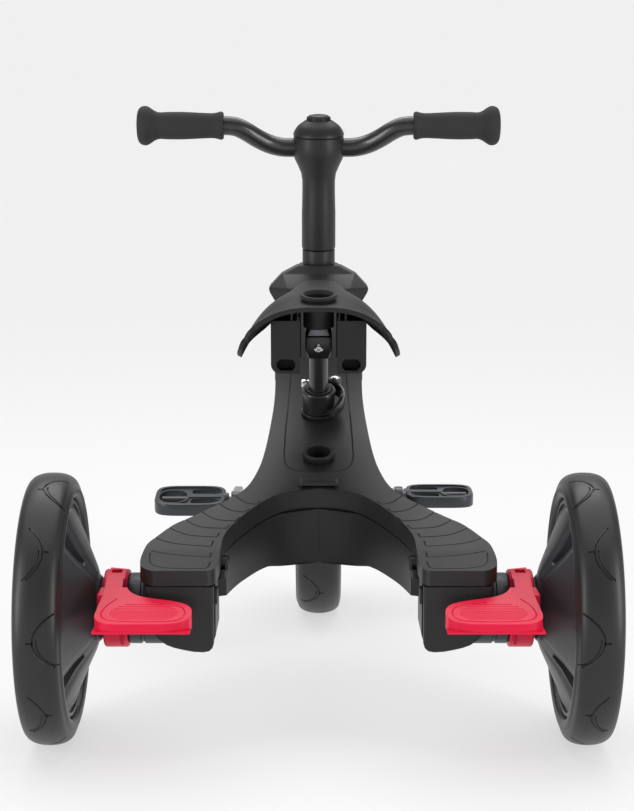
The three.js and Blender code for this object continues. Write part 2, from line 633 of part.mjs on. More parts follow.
const POST_TOP = 86;
add('seat_post', ring(POST_R - 2, POST_R, -56, POST_TOP, 20), BLACK_STEEL(), seatLine);
function postHead() {
  const body = alongZ(roundRect(0, 0, 25, 25, 5), 66, 89);
  return cut(body, rod(POST_R + GAP, 40, POST_TOP + 0.5), acrossX(rod(3.3, -5, 5)).rotateZ(Math.PI / 2).translate(0, -11, 79));
}
add('post_head', postHead(), BLACK_STEEL(), seatLine);
add('seat_bolt', new THREE.CylinderGeometry(3, 3, 6.4, 6).translate(0, -12.8, 79), BRIGHT_STEEL(), seatLine);
add('seat_plate', alongZ(roundRect(0, -2, 22, 20, 2), 89.4, 92), BRIGHT_STEEL(), seatLine);

// The origin goes to the floor, midway between the rear of the rear tyres and the front of
// the front tyre.
trike.position.y = -(WHEELBASE + FRONT_R - REAR_R) / 2;
trike.updateMatrixWorld(true);

export default trike;
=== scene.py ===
import math

import bmesh
import bpy
from mathutils import Matrix, Vector


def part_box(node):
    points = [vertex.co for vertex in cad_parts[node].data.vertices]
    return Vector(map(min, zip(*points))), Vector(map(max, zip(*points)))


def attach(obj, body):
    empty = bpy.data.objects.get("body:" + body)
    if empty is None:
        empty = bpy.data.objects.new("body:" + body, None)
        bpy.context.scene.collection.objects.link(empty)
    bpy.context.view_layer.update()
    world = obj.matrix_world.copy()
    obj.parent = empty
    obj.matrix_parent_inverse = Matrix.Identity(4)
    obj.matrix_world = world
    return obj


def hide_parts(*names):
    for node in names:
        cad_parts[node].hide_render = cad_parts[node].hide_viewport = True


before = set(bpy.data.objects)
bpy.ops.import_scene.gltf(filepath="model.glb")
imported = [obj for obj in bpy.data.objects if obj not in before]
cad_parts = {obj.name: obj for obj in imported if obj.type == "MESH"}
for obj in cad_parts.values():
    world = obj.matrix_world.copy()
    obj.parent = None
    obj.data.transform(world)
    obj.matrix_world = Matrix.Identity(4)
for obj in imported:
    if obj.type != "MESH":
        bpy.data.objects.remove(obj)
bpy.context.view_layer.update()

# ---- Camera, floor and light ---------------------------------------------------------
# Seen from behind and a little above, as someone walking after the rider sees it.
# Lengths in this file are millimetres from the floor under the rear axle, x to the
# rider's right and y forwards; on_trike() turns them into the frame's metres.
MM = 0.001
rear_low, rear_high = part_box("right_tyre")
ON_TRIKE = Matrix.Translation((0, (rear_low[1] + rear_high[1]) / 2, 0)) @ Matrix.Scale(MM, 4)


def on_trike(x, y, z):
    return ON_TRIKE @ Vector((x, y, z))


CAMERA_PLACE = (0, -1537.4, 493.7)
CAMERA_DOWN = 7.6
camera_data = bpy.data.cameras.new("Camera")
camera_data.sensor_width = 36
camera_data.lens = 82.1
camera_data.shift_x = -0.002
camera = bpy.data.objects.new("Camera", camera_data)
camera.location = on_trike(*CAMERA_PLACE)
camera.rotation_euler = (math.radians(90 - CAMERA_DOWN), 0, 0)
bpy.context.scene.collection.objects.link(camera)
bpy.context.scene.camera = camera
bpy.context.scene.view_settings.view_transform = "Standard"


def srgb(code):
    """A hex colour as linear red, green, blue and alpha."""
    parts = [int(code[i:i + 2], 16) / 255 for i in (0, 2, 4)]
    return [p / 12.92 if p <= 0.04045 else ((p + 0.055) / 1.055) ** 2.4 for p in parts] + [1]


def add_node(tree, kind, settings=None, inputs=None):
    """A node with its settings, and inputs that are values or other nodes' sockets."""
    node = tree.nodes.new(kind)
    for key, value in (settings or {}).items():
        setattr(node, key, value)
    for key, value in (inputs or {}).items():
        if isinstance(value, bpy.types.NodeSocket):
            tree.links.new(value, node.inputs[key])
        else:
            node.inputs[key].default_value = value
    return node


def material(name, **shader):
    """A new material with a Principled shader: its tree, and the shader node."""
    made = bpy.data.materials.new(name)
    made.use_nodes = True
    principled = made.node_tree.nodes["Principled BSDF"]
    for key, value in shader.items():
        principled.inputs[key.replace("_", " ")].default_value = value
    return made, made.node_tree, principled


def lamp(name, place, aim, size, power):
    data = bpy.data.lights.new(name, "AREA")
    data.shape = "RECTANGLE"
    data.size, data.size_y = size
    data.energy = power
    made = bpy.data.objects.new(name, data)
    made.location = place
    made.rotation_euler = (Vector(aim) - Vector(place)).to_track_quat("-Z", "Y").to_euler()
    bpy.context.scene.collection.objects.link(made)


world = bpy.data.worlds.new("Studio")
bpy.context.scene.world = world
world.use_nodes = True
# The studio is bright along the horizon and dim above, so black plastic keeps its depth.
world_way = add_node(world.node_tree, "ShaderNodeTexCoord").outputs["Generated"]
world_up = add_node(world.node_tree, "ShaderNodeSeparateXYZ", inputs={"Vector": world_way}).outputs["Z"]
world_dim = add_node(world.node_tree, "ShaderNodeMapRange", {"interpolation_type": "SMOOTHSTEP"},
                     {"Value": world_up, "From Min": 0.12, "From Max": 0.4, "To Min": 1.0,
                      "To Max": 0.4})
world_glow = world.node_tree.nodes["Background"]
world_glow.inputs["Color"].default_value = srgb("f0f0f0")
world.node_tree.links.new(world_dim.outputs["Result"], world_glow.inputs["Strength"])

overhead_data = bpy.data.lights.new("Overhead", "SUN")
overhead_data.energy = 1.7
overhead_data.angle = math.radians(80)
overhead = bpy.data.objects.new("Overhead", overhead_data)
overhead.rotation_euler = (math.radians(-12), 0, 0)
bpy.context.scene.collection.objects.link(overhead)
MID_TRIKE = (0, 0, 0.3)
lamp("Left strip", (-1.35, -0.95, 0.55), MID_TRIKE, (0.3, 1.1), 11)
lamp("Right strip", (1.35, -0.95, 0.55), MID_TRIKE, (0.3, 1.1), 11)
lamp("Top", (0, 1.2, 2.0), MID_TRIKE, (1.8, 0.7), 10)

floor_mesh = bpy.data.meshes.new("Floor")
floor_bm = bmesh.new()
bmesh.ops.create_grid(floor_bm, x_segments=1, y_segments=1, size=400)
floor_bm.to_mesh(floor_mesh)
floor = bpy.data.objects.new("Floor", floor_mesh)
bpy.context.scene.collection.objects.link(floor)
floor_paint, floor_tree, floor_shader = material("studio paper", Roughness=1.0)
paper_grain = add_node(floor_tree, "ShaderNodeTexNoise", inputs={"Scale": 3.0, "Detail": 2.0})
paper_ramp = add_node(floor_tree, "ShaderNodeMix", {"data_type": "RGBA"},
                      {"Factor": paper_grain.outputs["Fac"], "A": srgb("9c9c9c"), "B": srgb("a0a0a0")})
floor_tree.links.new(paper_ramp.outputs["Result"], floor_shader.inputs["Base Color"])
floor_shader.inputs["Specular IOR Level"].default_value = 0
floor_shader.inputs["Emission Color"].default_value = srgb("f0f0f0")
floor_shader.inputs["Emission Strength"].default_value = 0.65
floor.data.materials.append(floor_paint)

# ---- Frame plastic -------------------------------------------------------------------
# Glass-filled polypropylene, injection moulded in charcoal. The mould was spark eroded,
# which leaves a fine even grain: a soft satin with broad highlights and no sharp ones.
GRAIN_MM = 0.9  # real grain is 0.2 mm; drawn coarser so that it still shows


def surface(name, colours, roughness, gloss_range, flow_scale, relief, bump, **shader):
    """A material whose tint and gloss drift slowly, under a fine relief."""
    made, tree, principled = material(name, Roughness=roughness, **shader)
    where = add_node(tree, "ShaderNodeTexCoord").outputs["Object"]
    flow = add_node(tree, "ShaderNodeTexNoise", inputs={"Vector": where, "Scale": flow_scale,
                                                        "Detail": 3.0})
    tint = add_node(tree, "ShaderNodeMix", {"data_type": "RGBA"},
                    {"Factor": flow.outputs["Fac"], "A": srgb(colours[0]), "B": srgb(colours[1])})
    tree.links.new(tint.outputs["Result"], principled.inputs["Base Color"])
    gloss = add_node(tree, "ShaderNodeMapRange", inputs={
        "Value": flow.outputs["Fac"], "To Min": roughness - 0.05, "To Max": roughness + gloss_range})
    tree.links.new(gloss.outputs["Result"], principled.inputs["Roughness"])
    fine = add_node(tree, "ShaderNodeTexNoise", inputs={"Vector": where, **relief})
    height = add_node(tree, "ShaderNodeBump",
                      inputs={"Height": fine.outputs["Fac"], "Strength": bump, "Distance": 0.2 * MM})
    tree.links.new(height.outputs["Normal"], principled.inputs["Normal"])
    return made


def moulded(name, dark, light, roughness, grain_mm=GRAIN_MM, bump=0.12, specular=0.4):
    """Grained moulded plastic or rubber, with flow marks and slightly polished patches."""
    grain = {"Scale": 1 / (grain_mm * MM), "Detail": 2.0, "Roughness": 0.6}
    return surface(name, (dark, light), roughness, 0.06, 14.0, grain, bump, Specular_IOR_Level=specular)


FRAME_PLASTIC = moulded("moulded polypropylene, charcoal", "1f1e1f", "242324", 0.42, specular=0.3)

# ---- Deck cover ----------------------------------------------------------------------
# The top skin of the frame: one polypropylene moulding over the spine and both legs, with
# a rolled edge, footrest grooves on the legs and a sunk panel round the seat tube.
TOP_LINE = [
    (-62, 159), (-20, 164.5), (0, 168), (50, 181), (103, 199), (158, 219), (236, 250), (290, 281),
    (325, 318), (350, 348), (380, 356), (440, 356)]
# Pairs of points across the right half of the deck, from its inner line to its outer edge.
ACROSS = [
    ((0, 347), (43, 347)), ((0, 300), (43, 300)), ((0, 260), (43, 260)), ((0, 215), (46, 215)),
    ((0, 168), (50.5, 166)), ((0, 138), (56, 134)), ((0, 117), (65, 106)), ((0, 104), (80, 86)),
    ((18.5, 102.5), (95, 71.5)), ((36, 94.5), (110, 57)), ((54.4, 76), (126, 41.5)),
    ((72, 48), (139, 19)), ((81, 22), (145.8, 4)), ((82.8, -4), (148.2, -18)),
    ((83, -30), (147.5, -40)), ((85, -50), (143, -51)), ((91, -56.5), (136, -56.5))]


def curve_through(points, steps):
    """Catmull-Rom curve through the points, steps + 1 places along it."""
    points = [Vector(p) for p in points]
    places = []
    for i in range(steps + 1):
        along = i / steps * (len(points) - 1)
        k = min(int(along), len(points) - 2)
        t = along - k
        a, b, c, d = (points[max(0, min(len(points) - 1, k + j))] for j in (-1, 0, 1, 2))
        places.append(0.5 * ((2 * b) + (c - a) * t + (2 * a - 5 * b + 4 * c - d) * t ** 2
                             + (3 * b - a - 3 * c + d) * t ** 3))
    return places


TOP_PLACES = curve_through(TOP_LINE, 220)


def straight_between(points, x):
    """Value at x on the straight lines through (x, value) points, level past both ends."""
    for (xa, a), (xb, b) in zip(points, points[1:]):
        if x <= xb:
            return a + (b - a) * max(0, (x - xa) / (xb - xa))
    return points[-1][1]


def deck_height(y):
    return straight_between(TOP_PLACES, y)


def smooth_step(x, low, high):
    t = max(0, min(1, (x - low) / (high - low)))
    return t * t * (3 - 2 * t)


def sheet(across, along, place):
    """A grid of across by along squares, each corner put where place(s, t) says."""
    bm = bmesh.new()
    bmesh.ops.create_grid(bm, x_segments=across, y_segments=along, size=1)
    for v in bm.verts:
        v.co = place((v.co.x + 1) / 2, (v.co.y + 1) / 2)
    return bm


def normals_out(bm):
    bmesh.ops.recalc_face_normals(bm, faces=bm.faces[:])


def thicken(bm, by):
    """Gives a sheet a second side, moved by a vector, and walls all round."""
    made = bmesh.ops.extrude_face_region(bm, geom=bm.faces[:])
    verts = [g for g in made["geom"] if isinstance(g, bmesh.types.BMVert)]
    bmesh.ops.translate(bm, verts=verts, vec=by)
    normals_out(bm)


def round_edges(bm, radius, segments=3, sharper=40, only=lambda e: True):
    """Bevels the edges that turn by more than sharper degrees."""
    turn = math.radians(sharper)
    edges = [e for e in bm.edges if e.is_manifold and e.calc_face_angle() > turn and only(e)]
    bmesh.ops.bevel(bm, geom=edges, offset=radius, segments=segments, profile=0.5, affect="EDGES",
                    material=-1, clamp_overlap=True)


def finish(bm, name, body, paint, stands_for=(), where=None, smooth=30):
    """Turns millimetre mesh work into a finished piece on its CAD body."""
    bmesh.ops.remove_doubles(bm, verts=bm.verts[:], dist=0.01)
    normals_out(bm)
    bm.transform(ON_TRIKE @ (where or Matrix.Identity(4)))
    mesh = bpy.data.meshes.new(name)
    bm.to_mesh(mesh)
    bm.free()
    mesh.polygons.foreach_set("use_smooth", [True] * len(mesh.polygons))
    mesh.set_sharp_from_angle(angle=math.radians(smooth))
    mesh.materials.append(paint)
    piece = bpy.data.objects.new(name, mesh)
    bpy.context.scene.collection.objects.link(piece)
    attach(piece, body)
    if stands_for:
        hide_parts(*stands_for)
    return piece


def cut_away(bm, tools):
    """bm less each tool, through Blender's own Boolean modifier."""
    def loose(source, name):
        normals_out(source)
        mesh = bpy.data.meshes.new(name)
        source.to_mesh(mesh)
        source.free()
        made = bpy.data.objects.new(name, mesh)
        bpy.context.scene.collection.objects.link(made)
        return made

    body = loose(bm, "cut_body")
    cutters = [loose(tool, "cut_tool") for tool in tools]
    for cutter in cutters:
        modifier = body.modifiers.new("cut", "BOOLEAN")
        modifier.operation = "DIFFERENCE"
        modifier.solver = "MANIFOLD"
        modifier.object = cutter
    result = bmesh.new()
    result.from_object(body, bpy.context.evaluated_depsgraph_get())
    for made in [body, *cutters]:
        mesh = made.data
        bpy.data.objects.remove(made)
        bpy.data.meshes.remove(mesh)
    return result


def tube(path, radius, sides=8, tool=None):
    """A round tube along a path, closed at both ends, added to tool if there is one."""
    bm = tool or bmesh.new()
    path = [Vector(p) for p in path]
    rings = []
    for i, place in enumerate(path):
        way = (path[min(i + 1, len(path) - 1)] - path[max(i - 1, 0)]).normalized()
        turn = Vector((0, 0, 1)).rotation_difference(way).to_matrix().to_4x4()
        if rings:
            turn = (last_way.rotation_difference(way)).to_matrix().to_4x4() @ last_turn
        width = radius(i / (len(path) - 1)) if callable(radius) else radius
        made = bmesh.ops.create_circle(bm, cap_ends=i in (0, len(path) - 1), segments=sides,
                                       radius=width,
                                       matrix=Matrix.Translation(place) @ turn)
        rings.append(made["verts"])
        last_way, last_turn = way, turn
    for a, b in zip(rings, rings[1:]):
        for k in range(sides):
            bm.faces.new((a[k], a[(k + 1) % sides], b[(k + 1) % sides], b[k]))
    return bm


def cylinder(radius, low, high, segments=48, where=None):
    """A closed cylinder about z between two heights."""
    bm = bmesh.new()
    place = (where or Matrix.Identity(4)) @ Matrix.Translation((0, 0, (low + high) / 2))
    bmesh.ops.create_cone(bm, cap_ends=True, segments=segments, radius1=radius, radius2=radius,
                          depth=high - low, matrix=place)
    return bm


def leaning(x, y, z, degrees):
    return Matrix.Translation((x, y, z)) @ Matrix.Rotation(math.radians(degrees), 4, "X")


SEAT_LINE = leaning(0, 236, 250.5, 22.5)
SOCKET_LINE = leaning(0, 158, 219.5, 22.5)
SPINE_END = 7  # the pair at the crotch, where the inner line leaves the middle
INNER_LINE = (curve_through([pair[0] for pair in ACROSS[:SPINE_END + 1]], 140)[:-1]
              + curve_through([(-18.5, 102.5)] + [pair[0] for pair in ACROSS[SPINE_END:]], 200)[20:])
OUTER_LINE = curve_through([pair[1] for pair in ACROSS], 320)


def deck_place(s, t, inset=0, last=1.0):
    """A place on the right half of the deck: s across from the inner line, t towards the leg end."""
    k = t * last * (len(INNER_LINE) - 1)
    i = min(int(k), len(INNER_LINE) - 2)
    inner = INNER_LINE[i].lerp(INNER_LINE[i + 1], k - i)
    outer = OUTER_LINE[i].lerp(OUTER_LINE[i + 1], k - i)
    way = (outer - inner).normalized()
    outer = outer - way * inset
    if inner.x > 0.01:
        inner = inner + way * min(inset, inner.x)
    place = inner.lerp(outer, s)
    y = place.y + (inset if t > 0.99 else 0)
    return Vector((place.x, y, deck_height(place.y)))


def both_halves(bm):
    """Joins a right half to its mirror image at x = 0."""
    for v in bm.verts:
        if abs(v.co.x) < 0.02:
            v.co.x = 0
    bmesh.ops.mirror(bm, geom=bm.verts[:] + bm.edges[:] + bm.faces[:], axis="X", merge_dist=0.02)
    bmesh.ops.remove_doubles(bm, verts=bm.verts[:], dist=0.02)
    normals_out(bm)


def groove(tool, path, radius):
    """Adds a round-bottomed groove along a line of (x, y) on the deck to the cutting tool."""
    tube([(p[0], p[1], deck_height(p[1]) + 0.1) for p in path], radius, 6, tool)


# Each groove's hook beside the inner edge, its inner end, a place on the way, and its outer end.
LEG_GROOVES = [
    ((52, 82), (56.2, 77), (66, 81), (75, 92)), ((60.5, 70), (65.6, 63.5), (78.6, 68), (90, 80)),
    ((69, 55), (73, 48), (91, 52), (104, 66)), ((77.5, 41), (79.8, 34.5), (103, 38), (118, 52)),
    ((85.5, 26), (87.3, 18), (113.3, 23), (132, 38)), ((90.2, 11), (90.9, 0), (125, 7), (145, 21)),
    ((90.5, -13), (90.5, -24), (123.1, -17), (141, -8.5))]
END_OUTLINE = [
    (141.5, -14), (141, -23), (139.4, -36), (134, -45.4), (122, -50), (104, -51), (94.5, -50.6),
    (90.6, -46), (90, -35)]


def skirt_depth(y):
    return 12.8 + 4.7 * smooth_step(y, -55, 70)


def deck_cover():
    bm = sheet(6, 64, lambda s, t: deck_place(s, t))
    both_halves(bm)
    first_depth = 18
    thicken(bm, (0, 0, -first_depth))
    for v in bm.verts:
        if v.co.z < deck_height(v.co.y) - first_depth / 2:
            v.co.z = deck_height(v.co.y) - skirt_depth(v.co.y)
    def on_top(edge):
        place = edge.verts[0].co
        return place.z > deck_height(place.y) - 3

    round_edges(bm, 6.5, segments=5, sharper=50, only=on_top)
    tools = [cylinder(12.9, -60, 60, where=SEAT_LINE), cylinder(13.9, -60, 60, where=SOCKET_LINE)]
    lines = bmesh.new()
    for side in (-1, 1):
        for hook, inner, middle, outer in LEG_GROOVES:
            corner = Vector(inner).lerp(Vector(middle), 0.12)
            path = [hook, Vector(hook).lerp(Vector(inner), 0.75), corner, middle, outer]
            groove(lines, [(side * q.x, q.y) for q in curve_through(path, 28)], 0.75)
        groove(lines, [(side * q.x, q.y) for q in curve_through(END_OUTLINE, 36)], 0.75)
    panel = [(0, 132), (16, 133.5), (27, 140), (31.5, 153), (32, 175), (31, 215), (29, 262), (27, 300)]
    for side in (-1, 1):
        groove(lines, curve_through([(side * x, y) for x, y in panel], 48), 0.8)
    return cut_away(bm, tools + [lines])


finish(deck_cover(), "deck_cover_skin", "frame", FRAME_PLASTIC, ["deck_cover"])

# ---- Frame shell ---------------------------------------------------------------------
# The deep Y-shaped lower moulding that carries everything, seen as the curved web between
# the legs and as the sides of the spine. The cover's rolled edge sits on it.
SHELL_FLOOR = curve_through([
    (-60, 115), (-22, 116), (26, 118.5), (58, 125), (87, 131.5), (103, 131), (158, 152), (236, 190),
    (290, 222), (325, 256), (345, 285)], 100)


SEAM = 1.3  # width of the dark line under the cover


def under_cover(inset, lift, floor_lift):
    """A closed band of the frame's plan, from lift above the seam down to its lower edge."""
    bm = sheet(6, 120, lambda s, t: deck_place(s, t, inset=inset, last=0.735))
    both_halves(bm)
    first_depth = 60
    thicken(bm, (0, 0, -first_depth))
    for v in bm.verts:
        if v.co.z > deck_height(v.co.y) - first_depth / 2:
            v.co.z = deck_height(v.co.y) - skirt_depth(v.co.y) + lift
        else:
            v.co.z = straight_between(SHELL_FLOOR, v.co.y) + floor_lift
    return bm


def frame_shell():
    bm = under_cover(0.3, -SEAM, 0)
    def at_the_foot(edge):
        place = edge.verts[0].co
        return place.z < straight_between(SHELL_FLOOR, place.y) + 1

    round_edges(bm, 3, segments=3, sharper=50, only=at_the_foot)
    core = under_cover(3, 4, 4)
    bmesh.ops.translate(core, verts=core.verts[:], vec=(0, 2.6, 0))
    return copy_into(bm, core)


def copy_into(bm, other):
    """Adds another mesh's geometry to bm."""
    mesh = bpy.data.meshes.new("joined")
    other.to_mesh(mesh)
    other.free()
    bm.from_mesh(mesh)
    bpy.data.meshes.remove(mesh)
    return bm


def box(x0, x1, y0, y1, z0, z1, where=None):
    bm = bmesh.new()
    size = Matrix.Diagonal((x1 - x0, y1 - y0, z1 - z0, 1))
    place = Matrix.Translation(((x0 + x1) / 2, (y0 + y1) / 2, (z0 + z1) / 2))
    bmesh.ops.create_cube(bm, size=1, matrix=(where or Matrix.Identity(4)) @ place @ size)
    return bm


finish(frame_shell(), "frame_shell_moulding", "frame", FRAME_PLASTIC, ["frame_shell"])

# ---- Head cover ----------------------------------------------------------------------
# A faceted polypropylene shroud clipped over the head tube, moulded in one with crisp
# planes and softened edges.
HEAD_LEVELS = [
    (303, [(28, 350), (43, 358), (43, 425), (24, 463)]),
    (345, [(29, 351), (42.7, 361), (44, 422), (26, 460)]),
    (357, [(30.5, 355), (50.6, 371), (51, 421), (30, 455)]),
    (361.5, [(31.5, 357), (51.6, 373), (51.6, 420), (30, 452)]),
    (375, [(37.6, 382), (38.9, 385), (39, 420), (24, 443)]),
    (383.5, [(20.6, 389), (22.4, 391), (23, 420), (16, 432)])]


def lofted(levels):
    """Bridges closed outlines, each a list of places with the same count, and caps both ends."""
    bm = bmesh.new()
    rings = []
    for outline in levels:
        verts = [bm.verts.new(p) for p in outline]
        rings.append([bm.edges.new((verts[i], verts[i - 1])) for i in range(len(verts))])
    for a, b in zip(rings, rings[1:]):
        bmesh.ops.bridge_loops(bm, edges=a + b)
    bmesh.ops.holes_fill(bm, edges=rings[0] + rings[-1], sides=0)
    normals_out(bm)
    return bm


def symmetric(half, z):
    """A closed outline from its right-hand points, back to front."""
    return [(x, y, z) for x, y in half] + [(-x, y, z) for x, y in reversed(half)]


FRONT_AXLE = (0, 458, 125)
COLUMN = leaning(*FRONT_AXLE, 10)
head_bm = lofted([symmetric(half, z) for z, half in HEAD_LEVELS])
round_edges(head_bm, 1.6, segments=3, sharper=9)
head_bm = cut_away(head_bm, [cylinder(18.6, 240, 320, where=COLUMN)])
finish(head_bm, "head_shroud", "frame", FRAME_PLASTIC, ["head_cover"], smooth=20)

# ---- Leg ends ------------------------------------------------------------------------
# Each leg is closed by a moulded axle carrier that clips into it. A drum on its outer side
# holds the axle, and a snap latch on its inner side lets it go.
HOUSING_PLASTIC = moulded("moulded nylon, blue grey", "21252a", "292d33", 0.4)


def mirror_x(bm):
    bmesh.ops.scale(bm, vec=(-1, 1, 1), verts=bm.verts[:])
    bmesh.ops.reverse_faces(bm, faces=bm.faces[:])
    return bm


def outline_face(bm, outline):
    """One face from a closed list of places."""
    return bm.faces.new([bm.verts.new(p) for p in outline])


def prism(outline, push):
    """A closed block: a flat outline pushed along a vector."""
    bm = bmesh.new()
    outline_face(bm, outline)
    thicken(bm, push)
    return bm


def turned(profile, steps=64, where=None):
    """A solid of revolution about z from [radius, height] pairs; its ends close on the axis."""
    bm = bmesh.new()
    verts = [bm.verts.new((r, 0, h)) for r, h in profile]
    edges = [bm.edges.new(pair) for pair in zip(verts, verts[1:])]
    if profile[0][0] > 0.01 and profile[-1][0] > 0.01:
        edges.append(bm.edges.new((verts[-1], verts[0])))
    bmesh.ops.spin(bm, geom=verts + edges, cent=(0, 0, 0), axis=(0, 0, 1), angle=2 * math.pi,
                   steps=steps,
                   use_merge=True)
    bmesh.ops.remove_doubles(bm, verts=bm.verts[:], dist=0.01)
    normals_out(bm)
    if where:
        bm.transform(where)
    return bm


ACROSS_X = Matrix.Rotation(math.radians(90), 4, "Y")  # turns z into x
REAR_RADIUS = 115
REAR_AXLE_LINE = Matrix.Translation((0, 0, REAR_RADIUS)) @ ACROSS_X


def axle_carrier():
    section = [(86.2, 175), (86.2, 98), (87.4, 94), (90.2, 91.4), (95, 90.4), (103, 90.8), (111, 92.2),
               (119, 94),
               (125, 96.2), (131.4, 100.6), (135, 105), (139, 118), (142.4, 134), (144, 150),
               (144, 175)]
    bm = prism([(x, -56 + 0.03 * (x - 86), z) for x, z in section], (0, 86, 0))
    round_edges(bm, 3.5, segments=4, sharper=50, only=lambda e: max(v.co.y for v in e.verts) < -40
                and min(v.co.z for v in e.verts) < 149)
    seam = [(80, y, deck_height(y) - skirt_depth(y) - SEAM) for y in range(-60, 40, 5)]
    bm = cut_away(bm, [prism(seam + [(80, 35, 220), (80, -60, 220)], (80, 0, 0)),
                       box(80, 88.6, -49, -27, 60, 146)])
    core = [(90, 152), (90, 100), (134, 120), (140, 152)]
    return copy_into(bm, prism([(x, -52, z) for x, z in core], (0, 80, 0)))


def axle_housing():
    profile = [(5.3, 128), (29.4, 128), (30, 131), (30, 146.5), (28.6, 147.3), (28.6, 149), (30, 149.8),
               (30, 158.4),
               (29, 160.2), (12, 160.2), (12, 181), (5.3, 181)]
    return turned(profile, 72, REAR_AXLE_LINE)


def latch():
    bm = box(83.5, 88.5, -45, -31, 128.5, 141.5)
    round_edges(bm, 1.2)
    return bm


def latch_clip():
    """The fixed clip at the front of the leg end, under the cover's edge, with a slot in it."""
    bm = box(76.6, 87, 2, 16, 146, 157.5)
    round_edges(bm, 1.8)
    bm = cut_away(bm, [box(79.5, 84.6, -2, 9, 147.5, 152)])
    foot = box(79.6, 87, 4, 14, 138.4, 147)
    round_edges(foot, 1)
    return copy_into(bm, foot)


SIDES = (("right", lambda bm: bm), ("left", mirror_x))
for side, pose in SIDES:
    finish(pose(axle_carrier()), side + "_leg_end", "frame", FRAME_PLASTIC,
           [side + "_axle_carrier"])
    finish(pose(axle_housing()), side + "_axle_drum", "frame", HOUSING_PLASTIC,
           [side + "_axle_housing"])
    finish(pose(latch_clip()), side + "_latch_clip", "frame", FRAME_PLASTIC)
    finish(pose(latch()), side + "_latch_button", side + "_latch", FRAME_PLASTIC,
           [side + "_latch"])

# ---- Tyres ---------------------------------------------------------------------------
# Solid EVA-cored rubber tyres with a squarish section. The tread is smooth but for thin
# moulded crescents that open to one side and the other in turn.
TYRE_RUBBER = moulded("moulded rubber, satin black", "1a1a1a", "202020", 0.4, grain_mm=1.4, bump=0.06)
REAR_SECTION = [
    (93.2, -13), (94.2, -18.2), (97.5, -20.1), (101.4, -20.3), (104.6, -18.8), (109.6, -17),
    (112.9, -12.6), (114.6, -6.5), (115, 0), (114.6, 6.5), (112.9, 12.6), (109.6, 17), (104.6, 18.6),
    (100, 18.8), (96, 17.8), (93.2, 14)]


def tread_radius(section, x):
    """Radius of the tread at a distance from the middle plane."""
    outer = [(p[1], p[0]) for p in section if p[0] > section[3][0]]
    for (xa, ra), (xb, rb) in zip(outer, outer[1:]):
        if xa <= x <= xb:
            return ra + (rb - ra) * (x - xa) / (xb - xa)
    return outer[0][1]


def crescents(section, count, start, sweep, bulge, centre):
    """Grooves for the whole tread: a long crescent, a short inner one and a tick at mid-way."""
    tool = bmesh.new()

    def run(turn, x, radius=0.95):
        places = [(tread_radius(section, xi) * math.cos(a) + 0.1,
                   tread_radius(section, xi) * math.sin(a), xi)
                  for a, xi in zip(turn, x)]
        tube(places, radius, 6, tool)

    for k in range(count):
        middle = start + 2 * math.pi * k / count
        way, base, rise = (1, -16, bulge + 4.3) if k % 2 == 0 else (-1, 7, bulge)
        steps = [j / 12 for j in range(13)]
        run([middle + sweep * (2 * j - 1) for j in steps],
            [centre + base + way * rise * (1 - (2 * j - 1) ** 2) for j in steps])
        run([middle - sweep * (1.1 * j - 1) for j in steps],
            [centre + base + way * (rise * (1 - (1.1 * j - 1) ** 2) - 3) for j in steps], 0.75)
        run([middle + 0.01 * way, middle + 0.01 * way],
            [centre + base + way * rise, centre + base + way * (rise + 5)])
    return tool


def tyre(section, start, centre):
    ring = [(p.x, p.y) for p in curve_through(section + [section[0]], 72)][:-1]
    return cut_away(turned(ring, 128), [crescents(section, 10, start, 0.2, 12.5, centre)])


REAR_WHEEL = Matrix.Translation((225.6, 0, REAR_RADIUS)) @ ACROSS_X
for side, pose in SIDES:
    bm = tyre(REAR_SECTION, math.radians(-90), 0)
    bm.transform(REAR_WHEEL)
    finish(pose(bm), side + "_rear_tyre", side + "_wheel", TYRE_RUBBER, [side + "_tyre"],
           smooth=35)

FRONT_SECTION = [
    (102.2, -16), (103.2, -21.5), (106.5, -24), (110.6, -24), (114, -22.6), (118.4, -20.6),
    (122.2, -15.5), (124.4, -8), (125, 0), (124.4, 8), (122.2, 15.5), (118.4, 20.6), (114, 22.6),
    (110.6, 23.2), (106.5, 23.2), (102.2, 16)]
FRONT_WHEEL = Matrix.Translation(FRONT_AXLE) @ ACROSS_X
front_bm = tyre(FRONT_SECTION, math.radians(-90 - 30), 0)
front_bm.transform(FRONT_WHEEL)
finish(front_bm, "front_wheel_tyre", "front_wheel", TYRE_RUBBER, ["front_tyre"],
       smooth=35)

# ---- Wheel rims ----------------------------------------------------------------------
# Injection-moulded wheels: three broad coned spokes, each folded along its middle, with a
# bright drafted edge beside each narrow window and stepped rings just inside the tyre.
RIM_PLASTIC = moulded("moulded polypropylene, wheel grey", "2c2d30", "323336", 0.36)
SPOKE_HALF = 50  # degrees from a spoke's fold to its edge


